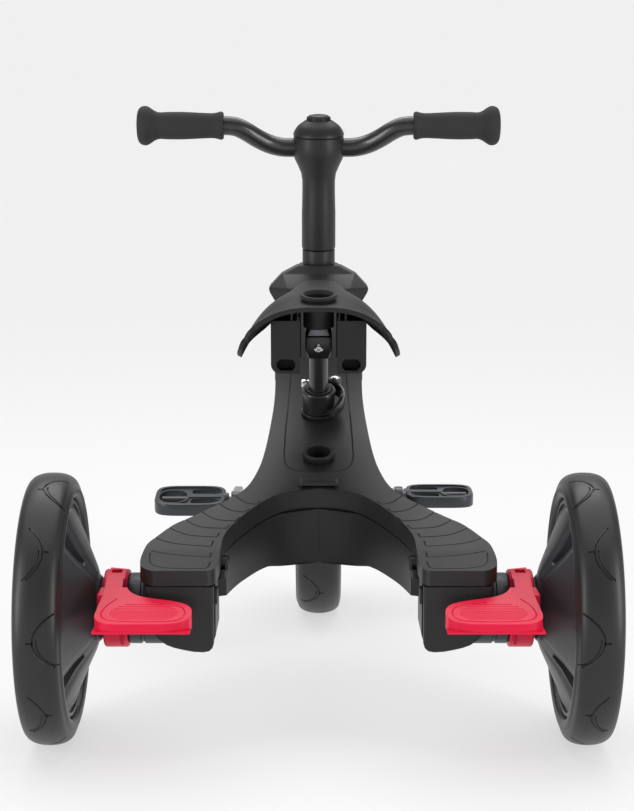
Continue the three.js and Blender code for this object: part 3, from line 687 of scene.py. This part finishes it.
def rim(profile, fold, spoke_at, window, fold_from, fold_to):
    """A wheel as a closed loop of profile points swept round, with folded spokes and windows."""
    count = len(profile)

    def place(s, t):
        turn = 360 * s
        r, x, folded = profile[round(t * count) % count]
        off = (turn - spoke_at + 60) % 120 - 60
        share = max(0, min(1, (r - fold_from) / (fold_to - fold_from)))
        drop = min(abs(off), SPOKE_HALF - 6) / SPOKE_HALF + 0.45 * smooth_step(abs(off), SPOKE_HALF - 6,
                                                                               SPOKE_HALF)
        a = math.radians(turn)
        return Vector((r * math.cos(a), r * math.sin(a), x + folded * fold * drop * share))

    bm = sheet(120, count, place)
    bmesh.ops.remove_doubles(bm, verts=bm.verts[:], dist=0.005)
    normals_out(bm)
    inner, outer, half = window
    tools = []
    for k in range(3):
        middle = math.radians(spoke_at + 60 + 120 * k)
        edge = []
        for r, way in ((inner, 1), (outer, -1)):
            spread = half if r == outer else half * 0.55
            for j in range(7):
                a = middle + way * math.radians(spread) * (j / 3 - 1)
                edge.append((r * math.cos(a), r * math.sin(a), -80))
        tools.append(prism(edge, (0, 0, 160)))
    return cut_away(bm, tools)


# Each point is radius, distance from the middle plane, and how much of the fold it takes.
REAR_RIM = [
    (8.3, -42.4, 0), (25, -42.4, 0), (27, -41.4, 0), (29, -39, 0.3), (40, -35.6, 1), (55, -29.4, 1),
    (70, -23.2, 1), (82, -18.3, 1), (84.5, -17.6, 0.6), (85, -14.5, 0), (88, -14.3, 0),
    (88.4, -16.4, 0), (91, -16.6, 0), (93.1, -15, 0), (93.1, 14, 0), (91, 16, 0), (88.4, 15.8, 0),
    (88, 12.5, 0), (85, 12.3, 0), (83, 9, 0), (70, 7, -0.3), (55, 8, -0.3), (40, 10.5, -0.3),
    (30, 13, 0), (27, 14, 0), (25.5, 14.4, 0), (8.3, 14.4, 0)]
for side, pose in SIDES:
    bm = rim(REAR_RIM, 7, 260, (44, 81, 8.5), 28, 60)
    bm.transform(REAR_WHEEL)
    cap = turned([(0, 14.2), (19.4, 14.2), (20, 14.8), (19.4, 16), (15, 17.2), (9, 17.8), (0, 17.95)],
                 64,
                 REAR_WHEEL)
    finish(pose(bm), side + "_rear_rim", side + "_wheel", RIM_PLASTIC, [side + "_rim"],
           smooth=18)
    finish(pose(cap), side + "_wheel_cap", side + "_wheel", FRAME_PLASTIC,
           [side + "_hub_cap"])

FRONT_RIM = [
    (6.3, -28, 0), (22, -28, 0), (24, -27, 0), (27, -24, 0.3), (50, -17, 1), (75, -15, 1), (90, -14, 1),
    (93, -13.6, 0.6), (93.6, -11, 0), (97, -11, 0), (97.4, -15, 0), (100, -16.5, 0), (102.1, -15, 0),
    (102.1, 15, 0), (100, 16.5, 0), (97.4, 15, 0), (97, 11, 0), (93.6, 11, 0), (93, 13.6, -0.6),
    (90, 14, -1), (75, 15, -1), (50, 17, -1), (27, 24, -0.3), (24, 27, 0), (22, 28, 0), (6.3, 28, 0)]
front_rim_bm = rim(FRONT_RIM, 5, 260, (42, 89, 9), 26, 60)
front_rim_bm.transform(FRONT_WHEEL)
finish(front_rim_bm, "front_wheel_rim", "front_wheel", RIM_PLASTIC, ["front_rim"],
       smooth=18)

# ---- Brake pedals --------------------------------------------------------------------
# A red nylon foot lever on each rear axle drum: a ring on the drum's sleeve, an arm that
# rises over it, and a ribbed pad behind. Pressing it down locks the wheel.
BRAKE_RED = moulded("moulded nylon, signal red", "d2103a", "dc183f", 0.36, bump=0.05, specular=0.2)
PAD_INNER = [
    (124, -107), (112, -104), (104.6, -98), (102, -89.5), (103, -80.5), (108, -74), (118, -69.5),
    (132, -66), (146, -62), (154.5, -55.5), (158.5, -46), (160.5, -34), (160.6, -11)]
PAD_OUTER = [
    (174.6, -11), (175, -30), (176.4, -60), (179, -82), (179.6, -92), (177.5, -99.5), (170, -105.5),
    (158, -107), (124, -107)]
PAD_SIDE = [
    (-108, 127.6), (-100, 129.4), (-84, 133.2), (-66, 138.6), (-48, 145), (-34, 150.2), (-24, 152.4),
    (-9, 152.6)]


def pad_height(y):
    return straight_between(PAD_SIDE, y)


def under_pad(outline, low):
    """A block with this plan, from a flat foot up to the pad's surface."""
    bm = prism([(x, y, low) for x, y in outline], (0, 0, 60))
    slope = [(90, y, z) for y, z in [(-125, 123)] + PAD_SIDE + [(20, 152.6)]]
    return cut_away(bm, [prism(slope + [(90, 20, 190), (90, -125, 190)], (110, 0, 0))])


def brake_pedal():
    outline = ([(q.x, q.y) for q in curve_through(PAD_INNER, 40)][:-1]
               + [(q.x, q.y) for q in curve_through(PAD_OUTER, 32)][:-1])
    bm = under_pad(outline, 120)
    round_edges(bm, 2.6, segments=3, sharper=45, only=lambda e: min(
        v.co.z - pad_height(v.co.y) for v in e.verts) > -1 and max(v.co.y for v in e.verts) < -14)
    ribs, edge = bmesh.new(), bmesh.new()
    for k in range(8):
        y = -98 + 3.3 * k
        inset = 8 + 0.7 * abs(k - 3) ** 2
        ends = (105 + inset, 176 - inset)
        tube([(ends[0] + (ends[1] - ends[0]) * j / 8, y, pad_height(y) + 0.15) for j in range(9)], 0.7,
             6, ribs)
    plateau = curve_through([(164, -66), (171, -76), (174.6, -90), (169, -99.5), (152, -102.6),
                             (128, -102.6),
                             (113, -100), (107.5, -91), (110, -80), (120, -75), (136, -71.5)], 60)
    tube([(q.x, q.y, pad_height(q.y) + 0.15) for q in plateau], 0.8, 6, edge)
    bm = cut_away(bm, [ribs, edge, box(164, 172.6, -27.5, -18.5, 138, 170),
                       box(156, 161.6, -50, -12, 119, 149)])
    lip = prism([(102.6, -84, 119.6), (102.4, -107.4, 119.6), (180.4, -107.4, 119.6),
                 (180, -78, 119.6)], (0, 0, 1.8))
    copy_into(bm, lip)
    ring = turned([(12.4, 160.6), (32, 160.6), (33, 161.8), (33, 179.6), (32, 180.8), (12.4, 180.8)],
                  64, REAR_AXLE_LINE)
    copy_into(bm, ring)
    for block in (box(161.6, 166, -60, -12, 121, 136), box(175.5, 181.2, -62, -34, 124, 141),
                  box(162.5, 165.5, -30, -26, 90, 104)):
        round_edges(block, 1.2, segments=2)
        copy_into(bm, block)
    return bm


for side, pose in SIDES:
    finish(pose(brake_pedal()), side + "_foot_brake", side + "_brake", BRAKE_RED,
           [side + "_brake_pedal"], smooth=35)

# ---- Saddle --------------------------------------------------------------------------
# An arched shell of soft-touch polypropylene with drooping wings, on a moulded box that
# holds the post and two accessory sockets.
SADDLE_PLASTIC = moulded("soft-touch polypropylene, graphite", "1d1c1e", "232224", 0.5, bump=0.16,
                         specular=0.22)
SADDLE_LINE = leaning(0, 101, 369, 2.5)
SADDLE_HALF = [
    (56, 0), (66.5, 3), (72, 11), (73.5, 24), (72, 45), (66, 72), (54, 102), (41, 132), (32, 162),
    (27, 186), (20, 197), (9, 200)]
# How far the side edge hangs below the crown, from the rear to the nose.
SADDLE_HANG = [
    (0, 15), (3, 28), (11, 40), (24, 50), (45, 50), (72, 44), (102, 37), (132, 28), (162, 19),
    (186, 13), (200, 9)]
SADDLE_STEPS = 66
SADDLE_WIDTHS = curve_through(SADDLE_HALF, SADDLE_STEPS)


def saddle_place(s, t):
    half = SADDLE_WIDTHS[round(t * SADDLE_STEPS)]
    across = abs(2 * s - 1)
    rear = -8 * (1 - smooth_step(half.y, -25, 55))
    nose = -5 * smooth_step(half.y, 165, 200)
    arch = straight_between(SADDLE_HANG, half.y) * across ** (2.8 + 0.5 * smooth_step(half.y, 0, 50))
    return Vector(((2 * s - 1) * half.x, half.y, rear - arch + nose))


def seat_shell():
    bm = sheet(48, SADDLE_STEPS, saddle_place)
    normals_out(bm)
    if sum(f.normal.z for f in bm.faces) < 0:
        bmesh.ops.reverse_faces(bm, faces=bm.faces[:])
    bmesh.ops.solidify(bm, geom=bm.faces[:], thickness=4.2)
    normals_out(bm)
    round_edges(bm, 1.2, segments=3, sharper=50)
    return cut_away(bm, [cylinder(14, -60, 30, where=RING_PLACE)])


RING_PLACE = Matrix.Translation((0, 27, -1)) @ Matrix.Rotation(math.radians(9), 4, "X")
finish(seat_shell(), "saddle_shell", "seat", SADDLE_PLASTIC, ["seat_shell"],
       where=SADDLE_LINE)


def rounded_outline(half, bottom, top, radius):
    """Rear view of the seat box: square shoulders above, round corners below."""
    outline = [(half, top), (-half, top)]
    for cx, start in ((-half + radius, 180), (half - radius, 270)):
        for j in range(7):
            a = math.radians(start + 15 * j)
            outline.append((cx + radius * math.cos(a), bottom + radius + radius * math.sin(a)))
    return outline


def seat_box():
    bm = prism([(x, 5, z) for x, z in rounded_outline(42.8, -66.5, -19, 8)], (0, 106, 0))
    round_edges(bm, 1.6, segments=3, sharper=60, only=lambda e: max(v.co.y for v in e.verts) < 6
                and min(v.co.z for v in e.verts) < -22)
    tools = [box(-16.6, 16.6, -5, 120, -90, -12), box(-19.5, 19.5, 8, 100, -90, -15)]
    for side in (-1, 1):
        socket = [(21, -61), (23.5, -64), (34.5, -64), (37.6, -61), (37.6, -56.5), (34.8, -53.6),
                  (23.6, -53.6), (21, -56.5)]
        tools.append(prism([(side * x, 0, z) for x, z in socket], (0, 22, 0)))
    bm = cut_away(bm, tools)
    for side in (-1, 1):
        copy_into(bm, box(*sorted((side * 17.4, side * 18.6)), 6.5, 20, -60, -16))
        copy_into(bm, box(*sorted((side * 23.5, side * 25)), 6, 60, -22, -8))
    return bm


finish(seat_box(), "saddle_box", "seat", SADDLE_PLASTIC, ["seat_box"],
       where=SADDLE_LINE)
socket_bm = turned([(11.6, -26), (13.9, -26), (13.9, 0.4), (16, 0.4), (17.2, 1.6), (17.2, 3),
                    (16.2, 4.1), (14, 4.1),
                    (12.8, 3), (11.6, 1)], 64, RING_PLACE)
finish(socket_bm, "backrest_ring", "seat", SADDLE_PLASTIC, ["backrest_socket"],
       where=SADDLE_LINE)

# ---- Seat post, clamp and quick release ----------------------------------------------
# A black powder-coated steel post with a forged head, held by a band clamp whose cam lever
# wraps round it.
def coated(name, dark, light, roughness, metallic=0.0, coat=0.0):
    """Painted or plated metal: faint orange peel and a slightly uneven gloss."""
    peel = {"Scale": 1 / (2.2 * MM), "Detail": 1.0}
    return surface(name, (dark, light), roughness, 0.05, 40.0, peel, 0.05, Metallic=metallic,
                   Coat_Weight=coat, Coat_Roughness=0.2)


BLACK_STEEL = coated("powder-coated steel, satin black", "1b1b1d", "212123", 0.3, coat=0.25)
BRIGHT_STEEL = coated("zinc-plated steel", "c4c7cb", "d6d8db", 0.2, metallic=1.0)
DULL_STEEL = coated("bare pressed steel", "77797d", "8a8c90", 0.45, metallic=1.0)

post_bm = turned([(6.9, -56), (8.6, -56), (9, -55.5), (9, 85.5), (8.6, 86), (6.9, 86)], 48)
finish(post_bm, "seat_post_tube", "seat", BLACK_STEEL, ["seat_post"], where=SEAT_LINE)


def post_head():
    section = [(-12.5, 90), (-12.5, 74), (-9.5, 66), (9.5, 66), (12.5, 74), (12.5, 90)]
    bm = prism([(x, -14, z) for x, z in section], (0, 27, 0))
    round_edges(bm, 1.6, segments=3)
    return bm


finish(post_head(), "post_head_forging", "seat", BLACK_STEEL, ["post_head"],
       where=SEAT_LINE)


def hex_bolt(radius, depth, where):
    """A bolt head with a domed washer face and a hexagon socket."""
    bm = turned([(0, 0), (radius * 1.25, 0), (radius * 1.25, depth * 0.35), (radius, depth * 0.5),
                 (radius, depth * 0.85),
                 (radius * 0.85, depth), (0, depth)], 32)
    bm = cut_away(bm, [cylinder(radius * 0.5, depth * 0.45, depth * 2, 6)])
    bm.transform(where)
    return bm


BOLT_PLACE = Matrix.Translation((0, -14, 78)) @ Matrix.Rotation(math.radians(90), 4, "X")
finish(hex_bolt(3.4, 2.6, BOLT_PLACE), "saddle_bolt", "seat", BRIGHT_STEEL,
       ["seat_bolt"], where=SEAT_LINE)
plate_bm = prism([(-10.5, -13.2, 90.4), (10.5, -13.2, 90.4), (6.2, -10.8, 101.5), (-6.2, -10.8, 101.5)],
                 (0, 2, 0))
round_edges(plate_bm, 0.5, segments=2)
finish(plate_bm, "saddle_plate", "seat", DULL_STEEL, ["seat_plate"], where=SEAT_LINE)

tube_bm = turned([(9.4, -62), (12.4, -62), (12.4, 0.8), (16.4, 0.8), (17, 1.4), (17, 2.8), (16.2, 3.6),
                  (12.4, 3.6),
                  (12.4, 26.6), (12, 27), (9.9, 27), (9.4, 26.5)], 64)
finish(tube_bm, "seat_tube_socket", "frame", BLACK_STEEL, ["seat_tube"], where=SEAT_LINE)


def seat_clamp():
    bm = turned([(12.7, 4), (15, 4), (15.6, 4.6), (15.6, 21), (16.2, 21.8), (16.2, 25), (15.6, 25.8),
                 (13.6, 25.8),
                 (12.7, 25)], 64)
    ears = box(-9, 9, 13, 26.5, 12, 26)
    round_edges(ears, 2.2)
    copy_into(bm, ears)
    return cut_away(bm, [cylinder(12.6, 0, 40), box(-1.2, 1.2, 12.9, 40, 0, 40)])


finish(seat_clamp(), "seat_clamp_band", "frame", BLACK_STEEL, ["seat_clamp"],
       where=SEAT_LINE)


def clamp_bolt():
    turn = Matrix.Translation((0, 20.5, 19)) @ ACROSS_X
    bm = cylinder(3, -17, 9, 24, where=turn)
    nut = cylinder(5.5, -16.5, -9.4, 6, where=turn)
    round_edges(nut, 0.5, segments=2)
    return copy_into(bm, nut)


finish(clamp_bolt(), "clamp_nut_and_bolt", "frame", BRIGHT_STEEL, ["clamp_bolt"],
       where=SEAT_LINE)


def clamp_lever():
    """The cam barrel on its pin, and the curved arm that tapers as it wraps to the rear."""
    bm = cylinder(6.4, 11.5, 26.5, 40, where=Matrix.Translation((15.6, 20.5, 0)))
    round_edges(bm, 0.9)

    def place(s, t):
        a = 0.95 - 2.05 * t
        r = 20.4 + 1.4 * math.sin(math.pi * t)
        low, high = 11.5 - 3.5 * t - 3 * t * t, 24.5 - 4 * t - 8 * smooth_step(t, 0.6, 1)
        return Vector((r * math.cos(a), r * math.sin(a), low + (high - low) * s))

    arm = sheet(6, 24, place)
    normals_out(arm)
    bmesh.ops.solidify(arm, geom=arm.faces[:], thickness=-3.6)
    normals_out(arm)
    round_edges(arm, 0.9, segments=2, sharper=50)
    return copy_into(bm, arm)


finish(clamp_lever(), "quick_release_lever", "clamp_lever", BLACK_STEEL,
       ["clamp_lever"],
       where=SEAT_LINE)
pin_place = Matrix.Translation((15.6, 20.5, 26.3))
finish(hex_bolt(2.9, 1.6, pin_place), "quick_release_pin", "clamp_lever", BRIGHT_STEEL,
       where=SEAT_LINE)

# ---- Push-bar socket -----------------------------------------------------------------
# A collar pressed into the deck that takes a parent's push bar, and the button behind it
# that lets the bar go.
collar_bm = turned([(11, -45), (13.6, -45), (13.6, 1.4), (14.9, 1.4), (15.4, 2), (15.4, 5.6),
                    (14.8, 6.2), (11.8, 6.2),
                    (11, 5.4)], 64)
finish(collar_bm, "push_bar_collar", "frame", FRAME_PLASTIC, ["push_bar_socket"],
       where=SOCKET_LINE)
BUTTON_LINE = leaning(0, 110, 201.2, 20)


def button_surround():
    bm = box(-18, 18, -6, 6, -3, 5)
    round_edges(bm, 2.6, segments=4)
    return cut_away(bm, [box(-15, 15, -12, 2.5, -1.2, 2.9)])


finish(button_surround(), "button_surround", "frame", FRAME_PLASTIC, where=BUTTON_LINE)
button_bm = box(-14.4, 14.4, -1.5, 2, -1.4, 2.3)
round_edges(button_bm, 0.6, segments=2)
finish(button_bm, "push_bar_release", "push_bar_button", FRAME_PLASTIC,
       ["push_bar_button"],
       where=BUTTON_LINE)

# ---- Steering column -----------------------------------------------------------------
# A moulded sleeve over the steerer flares into a ball that clamps the handlebar. A domed
# cap is screwed down on it under a ribbed knob.
sleeve_bm = turned([(12.4, 280.4), (16.9, 280.4), (17.4, 281), (17.6, 283), (17.6, 318), (17.3, 326),
                    (17, 340),
                    (17, 352), (18.2, 360), (21.4, 367.5), (25, 375), (26.7, 383), (26.7, 390),
                    (25.7, 397.6),
                    (25, 398.4), (0, 398.4)], 64)
notches = [box(-19, -16.6, -5, 5, z, z + 6) for z in (316, 340)]
finish(cut_away(sleeve_bm, [cylinder(12.5, 270, 372), *notches]), "column_sleeve_and_ball", "steering",
       FRAME_PLASTIC,
       ["column_sleeve", "handlebar_clamp"], where=COLUMN)
cap_profile = curve_through([(26.2, 399.4), (25.4, 402.6), (21.5, 408.4), (16, 412.6), (13.6, 414.2)],
                            14)
cap_bm = turned([(0, 398.8), (25.8, 398.8)] + [(p.x, p.y) for p in cap_profile] + [(0, 414.4)], 64)
finish(cap_bm, "handlebar_clamp_dome", "steering", FRAME_PLASTIC,
       ["handlebar_clamp_cap"], where=COLUMN)


def ribbed_knob():
    bm = turned([(0, 412.6), (11.6, 412.6), (11.9, 413.6), (11.4, 417.4), (10, 419), (7, 419.7),
                 (0, 419.9)], 64)
    for k in range(24):
        a = math.radians(15 * k)
        rib = box(10.6, 12.3, -0.6, 0.6, 413.2, 417.6, where=Matrix.Rotation(a, 4, "Z"))
        copy_into(bm, rib)
    return bm


finish(ribbed_knob(), "clamp_knob_ribbed", "steering", FRAME_PLASTIC, ["clamp_knob"],
       where=COLUMN)
collar_bm = turned([(12.4, 263.4), (16.6, 263.4), (17, 264), (17, 278.6), (16.6, 279.4), (12.4, 279.4)],
                   64)
finish(collar_bm, "steering_stop_collar", "steering", FRAME_PLASTIC,
       ["steering_collar"], where=COLUMN)

# ---- Handlebar and grips -------------------------------------------------------------
# Bent steel tube, satin black, with foam-rubber grips that end in a safety flange.
GRIP_RUBBER = moulded("foamed rubber, black", "2a2a2b", "303031", 0.72, grain_mm=1.1, bump=0.3,
                      specular=0.25)
BAR_END = (0, -15, 411)
BAR_HALF = [
    (0, 0, 386), (24, 0, 386), (38, -1, 386.6), (51, -4, 390.4), (63, -8.5, 397), (74, -12.4, 404.5),
    (84, -14.6, 409.6), (94, -15, 411), (106, -15, 411), (179, -15, 411)]
bar_path = curve_through([(-x, y, z) for x, y, z in reversed(BAR_HALF[1:])] + BAR_HALF, 110)
finish(tube(bar_path, 9.7, 32), "handlebar_tube", "steering", BLACK_STEEL, ["handlebar"],
       where=COLUMN)
GRIP_SHAPE = [
    (13, 97), (14.2, 98.6), (14.3, 100.4), (13.5, 103), (12.7, 108), (12.9, 117), (13.6, 130),
    (14, 143), (13.8, 156), (13.5, 162), (14.8, 166.6), (17.6, 171), (19.6, 174.5), (19.9, 178),
    (18.6, 181.6), (15, 184.2), (8, 185.3), (0, 185.5)]
for side, pose in SIDES:
    shape = curve_through(GRIP_SHAPE, 70)
    bm = turned([(0, 97.2), (12.4, 97)] + [(max(0, p.x), p.y) for p in shape], 64)
    bm.transform(Matrix.Translation(BAR_END) @ ACROSS_X)
    finish(pose(bm), side + "_hand_grip", "steering", GRIP_RUBBER, [side + "_grip"],
           where=COLUMN)

# ---- Fork, head tube and front axle --------------------------------------------------
# A welded steel fork, powder coated, with the bearings and the axle left bright.
def arc(x, y, radius, start, step, count):
    """Places round a circle about a line along x through (y, 0)."""
    turns = [math.radians(start + step * j) for j in range(count)]
    return [(x, y + radius * math.sin(a), radius * math.cos(a)) for a in turns]


def fork():
    bm = cylinder(12, 140, 371, 48)
    crown = cylinder(1, 134, 147, 64)
    bmesh.ops.scale(crown, vec=(47, 18, 1), verts=crown.verts[:])
    round_edges(crown, 2.5)
    copy_into(bm, crown)
    for side in (-1, 1):
        outline = arc(34.2, 0, -15, -90, 12, 16) + [(34.2, -15, 138), (34.2, 15, 138)]
        blade = prism([(x * side, y, z) for x, y, z in outline], (11.6 * side, 0, 0))
        round_edges(blade, 2.2)
        copy_into(bm, blade)
    return bm


finish(fork(), "fork_weldment", "steering", BLACK_STEEL, ["fork"], where=COLUMN)
head_tube_bm = turned([(16.4, 150), (21.6, 150), (22, 150.6), (22, 261.4), (21.6, 262), (16.4, 262)],
                      64)
finish(head_tube_bm, "head_tube_steel", "frame", BLACK_STEEL, ["head_tube"],
       where=COLUMN)

# ---- Cranks and pedals ---------------------------------------------------------------
# Forged crank arms on the front axle, and moulded pedals with a raised rim, a web along
# the spindle and a large oval window at the outer end.
# The pedals are black nylon. Their grey colour is painted sheen that stands in for the shine on the web
# and the rim.
PEDAL_PLASTIC = moulded("moulded nylon, black greyed as painted sheen", "303236", "383a3f", 0.3, bump=0.05)
CRANK = 60
CRANK_RISE = 8


def crank():
    bm = prism(arc(83, 0, 13, 180, 15, 13) + arc(83, CRANK, 9.5, 0, 15, 13), (9, 0, 0))
    round_edges(bm, 1.6)
    spindle = cylinder(4.5, 90, 166, 32, where=Matrix.Translation((0, CRANK, 0)) @ ACROSS_X)
    cap = cylinder(8, 90, 95.5, 32, where=ACROSS_X)
    round_edges(cap, 1)
    copy_into(bm, cap)
    return copy_into(bm, spindle)


def oval(cx, cy, a, b, z, power, count):
    """A superellipse round (cx, cy), squarer as its power rises."""
    places = []
    for k in range(count):
        across, up = math.cos(2 * math.pi * k / count), math.sin(2 * math.pi * k / count)
        places.append((cx + a * abs(across) ** (2 / power) * math.copysign(1, across),
                       cy + b * abs(up) ** (2 / power) * math.copysign(1, up), z))
    return places


def pedal():
    """A deep cage about its spindle line, open above but for the web and the oval's rim."""
    bm = prism(oval(138, 0, 37.5, 32.5, -6.5, 4.2, 56), (0, 0, 13))
    round_edges(bm, 1.6, segments=3, sharper=60)
    recess = prism(oval(138, 0, 33, 28, 4.6, 4.2, 56), (0, 0, 6))
    bm = cut_away(bm, [recess])
    openings = [prism(oval(156, -3, 14.5, 20, -12, 2.4, 36), (0, 0, 30))]
    for side in (-1, 1):
        openings.append(prism(oval(122, side * 15.5, 15, 9, -12, 3.5, 28), (0, 0, 30)))
    bm = cut_away(bm, openings)
    web = box(103, 142, -5, 5, 2, 6.2)
    round_edges(web, 1)
    copy_into(bm, web)
    rim_outer, rim_inner = oval(156, -3, 17, 22.5, 3, 2.4, 36), oval(156, -3, 14.6, 20.1, 2, 2.4, 36)
    copy_into(bm, cut_away(prism(rim_outer, (0, 0, 3)), [prism(rim_inner, (0, 0, 6))]))
    boss = cylinder(8.5, 97.5, 104, 32, where=ACROSS_X)
    round_edges(boss, 1)
    return copy_into(bm, boss)


for side, way, tilt in (("right", 1, 3), ("left", -1, 8)):
    rise = math.radians(CRANK_RISE)
    at_crank = Matrix.Translation(FRONT_AXLE) @ Matrix.Rotation(-rise, 4, "X")
    arm = crank()
    if way < 0:
        arm.transform(Matrix.Diagonal((-1, -1, 1, 1)))
    finish(arm, side + "_crank_arm", "front_wheel", BLACK_STEEL, [side + "_crank"],
           where=at_crank)
    cage = pedal()
    if way < 0:
        mirror_x(cage)
    spot = Vector(FRONT_AXLE) + Vector((-2 * way, CRANK * way * math.cos(rise),
                                        -CRANK * way * math.sin(rise)))
    at_pedal = Matrix.Translation(spot) @ Matrix.Rotation(math.radians(tilt), 4, "X")
    finish(cage, side + "_pedal_cage", side + "_pedal", PEDAL_PLASTIC,
           [side + "_pedal"], where=at_pedal)

# ---- Bearings, bushes and axles ------------------------------------------------------
# Turned steel parts that keep their solids: plated, with only a sliver of each in sight.
for node in ("lower_bearing", "upper_bearing", "left_fork_bearing", "right_fork_bearing", "left_axle",
             "right_axle",
             "front_axle"):
    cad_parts[node].material_slots[0].material = BRIGHT_STEEL
for node in ("left_bush", "right_bush"):
    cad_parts[node].material_slots[0].material = BLACK_STEEL
